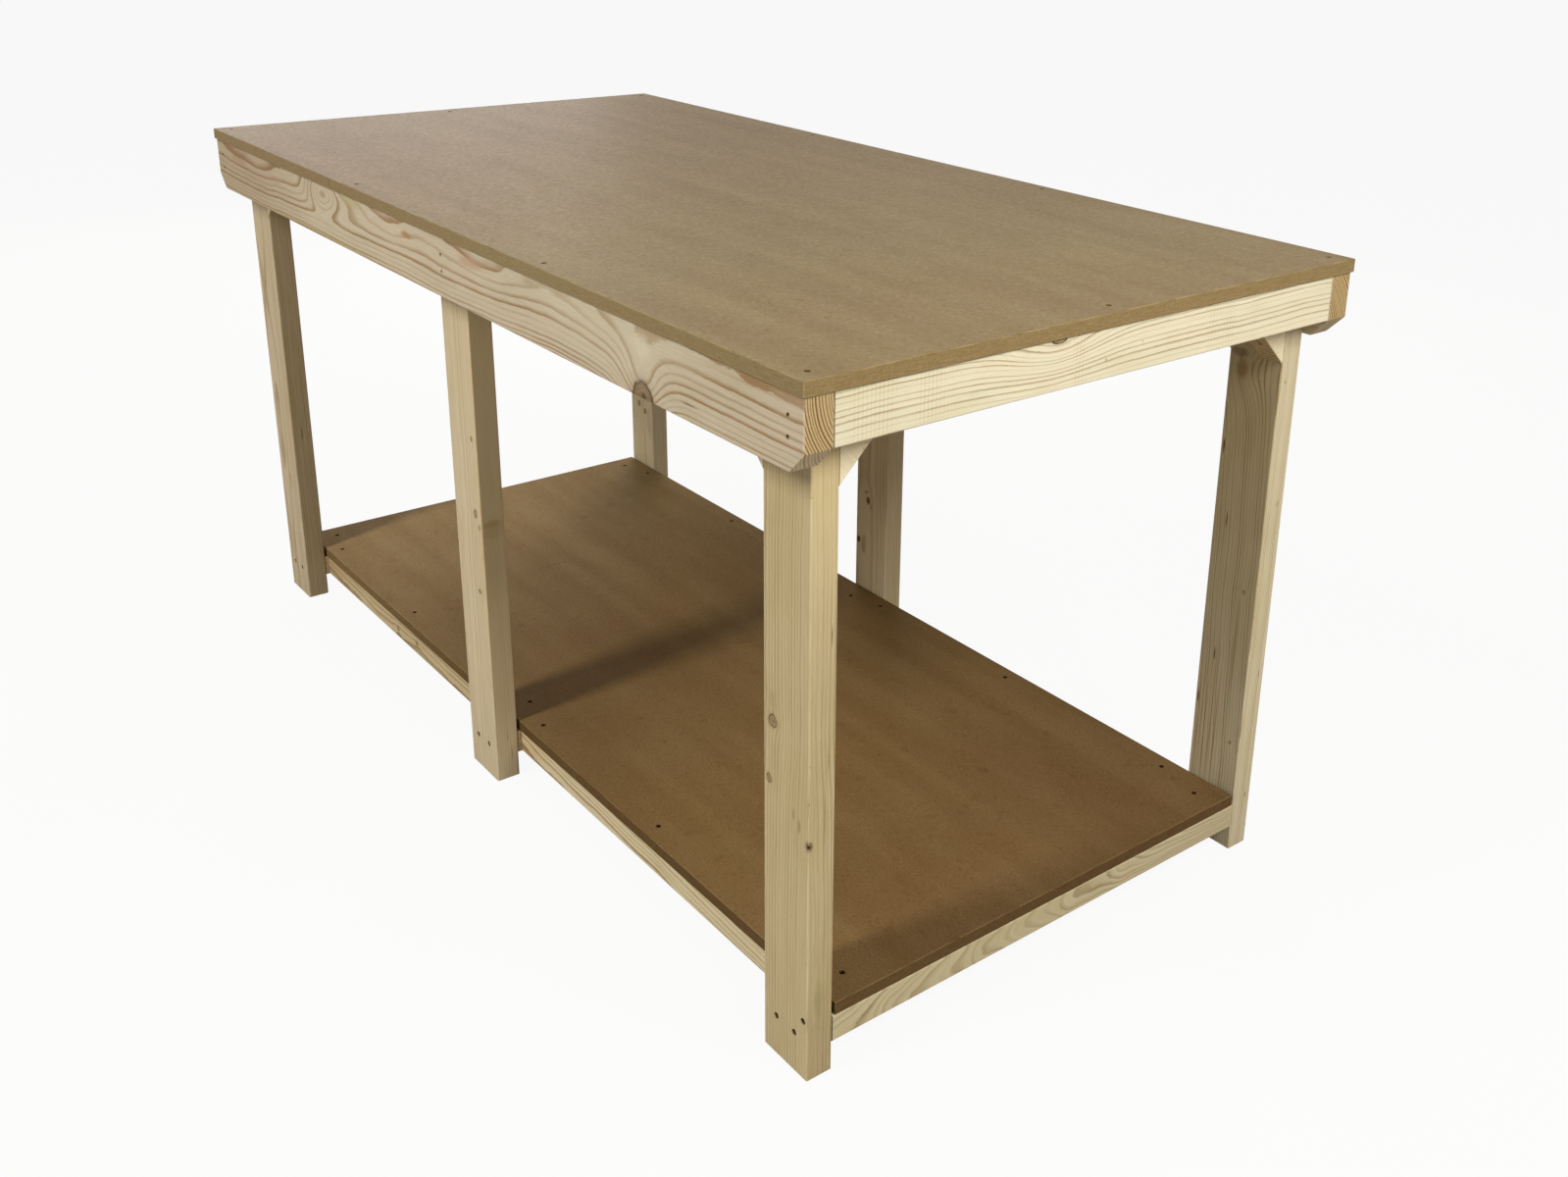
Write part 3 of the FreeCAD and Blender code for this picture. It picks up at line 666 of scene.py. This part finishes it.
timber("rear_right_leg", along_z, pith=(950, 255, 0), lean=(-0.03, 0, 0), ring=3.6, wander=2.2,
       wave=180.0, seed=27.0, bold=0.9, early=0.6, hole_shade=0.85, pale="cec6ab", late="927755",
       knot="b8a27a",
       knots=[((809, rear_leg_front, 748), (1.2, 1.0, 1.5), bare, 0.0, -16, 30),
              ((852, rear_leg_front, 421), (1.2, 1.0, 1.4), 2.0, 0.7, -1, 12),
              ((856, rear_leg_front, 176), (1.2, 1.0, 1.4), 1.8, 0.7, -1, 12),
              ((leg_right, 390, 743), (1.0, 1.0, 1.4), 1.4, 0.7, -1, 12)],
       marks=[((809, rear_leg_front, 748), (14, through, 21), "8a6c42", 0.6, 0.5),
              ((811, rear_leg_front, 747), (7, through, 11), "a3875a", 0.6, 0.4),
              ((803, rear_leg_front, 771), (20, through, 9), "5f4b2f", 0.55, 0.9),
              ((826, rear_leg_front, 752), (3, through, 17), "7a6240", 0.45, 0.9),
              ((846, rear_leg_front, 330), (4, through, 110), "8f6a44", 0.45, 0.7),
              ((791, rear_leg_front, 628), (1.8, through, 17), "6b2f1a", 0.95, 0.5),
              ((809, rear_leg_front, 521), (1.6, through, 17), "6b2f1a", 0.9, 0.5),
              ((812, rear_leg_front, 306), (1.5, through, 15), "4c3318", 0.9, 0.5),
              ((790, rear_leg_front, 226), (1.6, through, 15), "454018", 0.95, 0.5),
              ((793, rear_leg_front, 190), (1.2, through, 110), "7d5636", 0.7, 0.5),
              ((799, rear_leg_front, 200), (1.2, through, 140), "84603f", 0.7, 0.5),
              ((806, rear_leg_front, 180), (1.2, through, 120), "7d5636", 0.7, 0.5),
              ((817, rear_leg_front, 210), (1.3, through, 160), "84603f", 0.7, 0.5),
              ((826, rear_leg_front, 190), (1.3, through, 120), "7d5636", 0.6, 0.5),
              ((leg_right, 405, 291), (through, 1.5, 9), "5b4a2c", 0.7, 0.6),
              ((leg_right, 403, 560), (through, 1.5, 7), "7a6848", 0.6, 0.8),
              ((leg_right, 405, 86), (through, 2.5, 8), "6b5a3c", 0.6, 0.6),
              ((leg_right, 414, 30), (through, 2, 5), "6b4a2c", 0.6, 0.4)],
       # Painted shade: the front face is darkened high up, where the top shades it.
       stains_and_shade=[((830, 376, 700), (through, 6, 540), "e9e1d1", 1.0, 0.0),
               ((812, rear_leg_front, 200), (30, 8, 170), "f6e8dc", 0.4, 0.5)])
timber("rear_middle_leg", along_z, pith=(-20, 500, 0), ring=3.3, wander=1.8, wave=220.0, seed=29.0,
       bold=0.6, hole_shade=0.85, pale="dacdac", late="a98b65", knot="8b7551",
       knots=[((-10, rear_leg_front, 276), (1.2, 1.0, 1.5), 4, 0.8, -1, 22),
              ((-36, rear_leg_front, 188), (1.2, 1.0, 1.5), 4, 0.8, -1, 22)],
       marks=[((-10, rear_leg_front, 273), (6, through, 9), "5a452c", 0.75, 0.9),
              ((-16, rear_leg_front, 290), (7, through, 5), "6b5538", 0.6, 0.9),
              ((-2, rear_leg_front, 264), (3, through, 12), "6b5538", 0.5, 0.9),
              ((-36, rear_leg_front, 188), (5, through, 7), "4f3c28", 0.75, 0.9)])
# Painted light: this leg is given paler colours than the other rear legs, for the light that falls on its
# front.
timber("rear_left_leg", along_z, pith=(-800, 480, 0), ring=3.1, wander=1.6, wave=240.0, seed=31.0,
       bold=0.5, hole_shade=0.85, pale="e8ddbe", late="b9a178", knot="a8956f",
       knots=[((-816, rear_leg_front, 223), (1.2, 1.0, 1.4), 4.5, 0.8, -1, 22),
              ((-841, rear_leg_front, 235), (1.2, 1.0, 1.4), 4.5, 0.8, -1, 20)])

timber("right_shelf_rail", along_y_flat, pith=(812, 0, 66), lean=(0.1, 0, 0.09), ring=3.6, wander=3.2,
       wave=75.0, seed=41.0, bold=0.7, joint_shade=0.8, pale="c6bc9e", late="907b57")
timber("middle_shelf_rail", along_y_flat, pith=(0, 0, 120), ring=3.2, seed=43.0, joint_shade=0.6,
       pale="c5b594", late="9c7f58")
timber("left_shelf_rail", along_y_flat, pith=(-850, 0, -20), ring=3.2, seed=58.0, bold=0.85, joint_shade=0.6,
       pale="c5b594", late="9c7f58", knots=[((-874, 150, 60), (through, 1.2, 1), 6, 0.7, -3, 24)])
timber("front_right_shelf_rail", along_x_flat, pith=(420, -300, 20), lean=(0, 0, -0.05), ring=4.6,
       wander=3.0, wave=200.0, seed=47.0, bold=1.2, early=0.6, joint_shade=0.5, pale="d1c6a8", late="977d57",
       marks=[((90, shelf_rail_front, 60), (60, through, 22), "bf9468", 0.2, 0.8)])
timber("front_left_shelf_rail", along_x_flat, pith=(-420, -290, 40), ring=3.2, wander=2.2, wave=220.0,
       seed=49.0, bold=1.2, early=0.55, joint_shade=0.5, pale="c2b390", late="8d7452",
       knots=[((-445, shelf_rail_front, 58), (1.2, 1, 1), 4, 0.8, -1, 16),
              ((-362, shelf_rail_front, 62), (1.2, 1, 1), 4, 0.8, -1, 16)],
       marks=[((-740, shelf_rail_front, 62), (70, through, 20), "b08a68", 0.4, 0.8)])
timber("rear_right_shelf_rail", along_x_flat, pith=(420, 300, 10), ring=3.3, seed=51.0, joint_shade=0.5,
       pale="c3b593", late="997c54")
timber("rear_left_shelf_rail", along_x_flat, pith=(-420, 310, 110), ring=3.0, seed=53.0, joint_shade=0.5,
       pale="c4b695", late="9b7f56")

# Two braces stand in each corner under the top. These places are those of the right rear corner.
apron_brace_pith, apron_brace_screw = Vector((830, 470, 730)), Vector((755, 397, 801))
end_brace_pith, end_brace_screw = Vector((905, 400, 720)), Vector((855, 348, 801))

# Painted shade over the opening of a sunk screw: its reaches, colour, strength and raggedness
sunk_screw_shade = ((6, 6, 6), "20150b", 0.95, 0.2)

for end, to_end, end_seed in (("left", -1, 60.0), ("right", 1, 68.0)):
    for side, to_side, brace_seed in (("front", -1, end_seed), ("rear", 1, end_seed + 3)):
        mirror = Vector((to_end, to_side, 1))
        timber(f"{side}_{end}_apron_brace", ((to_end, 0, 1), (0, 1, 0)), pith=mirror * apron_brace_pith,
               ring=3.1, wander=0.9, seed=brace_seed, bold=0.3, pale="dcd2b4", late="bfa982",
               marks=[(mirror * apron_brace_screw, *sunk_screw_shade)])
        timber(f"{side}_{end}_end_brace", ((0, to_side, 1), (1, 0, 0)), pith=mirror * end_brace_pith,
               ring=3.0, wander=0.9, seed=brace_seed + 1, bold=0.3, pale="dfd6b9", late="c2ad88",
               marks=[(mirror * end_brace_screw, *sunk_screw_shade)])


# ---------------------------------------------------------------------------------------------
# The boards and the screws
# ---------------------------------------------------------------------------------------------

# Painted light: both boards are the same fibreboard, but the shelf's face is paler than the top's to make
# up for the dimmer light under the top.
fibreboard("top_board", seed=0.0, face="7d6c48", edge="927e58", sheen=0.2,
           # Painted shade: a thin dark line on the front edge of the top, for a saw nick.
           marks=[((-345, -457, 906), (1.2, 6, through), "4a3c24", 0.8, 0.2)],
           stains_and_shade=[((-915, 0, 915), (1300, through, through), "f6efeb", 1.0, 0.0),
                   ((0, -460, 906), (through, 8, 24), "f5faff", 1.0, 0.0)])
fibreboard("shelf_board", seed=430.0, face="907a55", edge="7f6a48", sheen=0.02,
           # Painted shade: the shelf is darkened under the middle and rear of the top, and towards its
           # right-hand end.
           stains_and_shade=[((300, 100, 96), (1200, 1500, through), "cac1b6", 1.0, 0.0),
                   ((915, 0, 96), (500, through, through), "f7f4f8", 1.0, 0.0)])

steel = screw_steel()
for screws in ("top_board_screws", "shelf_board_screws", "top_rail_screws", "leg_screws", "foot_screws",
               "brace_leg_screws", "brace_side_screws"):
    dress(screws, steel)


# ---------------------------------------------------------------------------------------------
# Floor, light and camera
# ---------------------------------------------------------------------------------------------

def seen_directly(tree):
    """1 for rays from the camera, from a mirror or through glass, otherwise 0."""
    path = tree.add("ShaderNodeLightPath").outputs
    seen = tree.math("MAXIMUM", path["Is Camera Ray"], path["Is Glossy Ray"])
    return tree.math("MAXIMUM", seen, path["Is Transmission Ray"])


def pale_floor(half_side, keeps, paint_colour):
    """A wide pale floor that looks white, keeps a share of the shadows on it and is clear from below."""
    below_feet = 0.3 * mm
    bpy.ops.object.select_all(action="DESELECT")
    bpy.ops.mesh.primitive_plane_add(size=2 * half_side, location=(0, 0, -below_feet))
    floor = bpy.context.object
    floor.name = "studio_floor"
    material = bpy.data.materials.new("pale_floor")
    material.use_nodes = True
    material.node_tree.nodes.clear()
    tree = Tree(material.node_tree)
    paint = tree.add("ShaderNodeBsdfDiffuse", {"Color": paint_colour})
    white = tree.add("ShaderNodeEmission", {"Color": (1.0, 1.0, 1.0, 1.0), "Strength": 1.0})
    share = tree.math("MULTIPLY", seen_directly(tree), 1 - keeps)
    pale = tree.add("ShaderNodeMixShader", {0: share, 1: paint.outputs[0], 2: white.outputs[0]})
    from_below = tree.add("ShaderNodeNewGeometry").outputs["Backfacing"]
    clear = tree.add("ShaderNodeBsdfTransparent")
    surface = tree.add("ShaderNodeMixShader", {0: from_below, 1: pale.outputs[0], 2: clear.outputs[0]})
    tree.add("ShaderNodeOutputMaterial", {"Surface": surface.outputs[0]})
    floor.data.materials.append(material)


def studio_world(strength, seen):
    """A plain dim surround that is seen as near white."""
    world = bpy.data.worlds.new("studio")
    bpy.context.scene.world = world
    world.use_nodes = True
    world.node_tree.nodes.clear()
    tree = Tree(world.node_tree)
    dim = tree.add("ShaderNodeBackground", {"Color": (1.0, 0.97, 0.92, 1.0), "Strength": strength})
    white = tree.add("ShaderNodeBackground", {"Color": (seen, seen, seen, 1.0), "Strength": 1.0})
    mixed = tree.add("ShaderNodeMixShader", {0: seen_directly(tree), 1: dim.outputs[0],
                                             2: white.outputs[0]})
    tree.add("ShaderNodeOutputWorld", {"Surface": mixed.outputs[0]})


def lamp(name, place, aim, wide, high, watts, tint, glossy=False):
    """A soft oblong lamp at a place, turned to what it lights."""
    data = bpy.data.lights.new(name, "AREA")
    data.shape = "RECTANGLE"
    data.size, data.size_y = wide, high
    data.energy = watts
    data.color = tint
    light = bpy.data.objects.new(name, data)
    bpy.context.collection.objects.link(light)
    light.location = place
    light.rotation_euler = (Vector(aim) - Vector(place)).to_track_quat("-Z", "Y").to_euler()
    light.visible_camera = False
    light.visible_glossy = glossy


def viewpoint(place, azimuth, elevation, roll, lens, centre, picture):
    """The camera at a place, turned by angles in degrees.

    The lens, the centre of view and the picture's size are in pixels of the picture."""
    wide, high = picture
    data = bpy.data.cameras.new("viewpoint")
    data.sensor_fit = "HORIZONTAL"
    data.sensor_width = 36.0
    data.lens = lens / wide * data.sensor_width
    data.shift_x = (wide / 2 - centre[0]) / wide
    data.shift_y = (centre[1] - high / 2) / wide
    camera = bpy.data.objects.new("viewpoint", data)
    bpy.context.collection.objects.link(camera)
    azimuth, elevation, roll = radians(azimuth), radians(elevation), radians(roll)
    back = Vector((sin(azimuth) * cos(elevation), -cos(azimuth) * cos(elevation), sin(elevation)))
    level = Vector((0, 0, 1)).cross(back).normalized()
    upright = back.cross(level)
    right = cos(roll) * level + sin(roll) * upright
    up = cos(roll) * upright - sin(roll) * level
    turn = Matrix((right, up, back)).transposed().to_4x4()
    camera.matrix_world = Matrix.Translation(place) @ turn
    bpy.context.scene.camera = camera


warm_white = (1.0, 0.98, 0.95)
pale_floor(half_side=40.0, keeps=0.07, paint_colour=(0.50, 0.48, 0.45, 1.0))
studio_world(strength=0.18, seen=0.95)
lamp("key_lamp", place=(0.3, -4.2, 4.3), aim=(0.0, 0.0, 0.5), wide=0.7, high=2.2, watts=251,
     tint=warm_white)
lamp("end_softbox", place=(2.8, 0.0, 2.5), aim=(0.9, 0.0, 0.7), wide=1.2, high=1.2, watts=82,
     tint=(1.0, 0.98, 0.94))
lamp("left_softbox", place=(-4.4, 1.0, 1.5), aim=(-0.6, 0.0, 0.9), wide=2.4, high=1.0, watts=26,
     tint=(1.0, 0.91, 0.88), glossy=True)
lamp("rear_left_softbox", place=(-2.8, 2.2, 1.3), aim=(-0.5, 0.0, 0.1), wide=1.4, high=1.0, watts=78,
     tint=warm_white)
lamp("front_left_softbox", place=(-2.6, -2.6, 1.5), aim=(-0.5, 0.0, 0.5), wide=1.5, high=1.5, watts=8,
     tint=warm_white)
viewpoint(place=(2.1044568, -1.3374162, 1.4005353), azimuth=50.8242, elevation=19.3358, roll=1.2433,
          lens=1603.5574, centre=(890.3288, 423.0378), picture=(1599, 1200))
bpy.context.scene.view_settings.view_transform = "Standard"
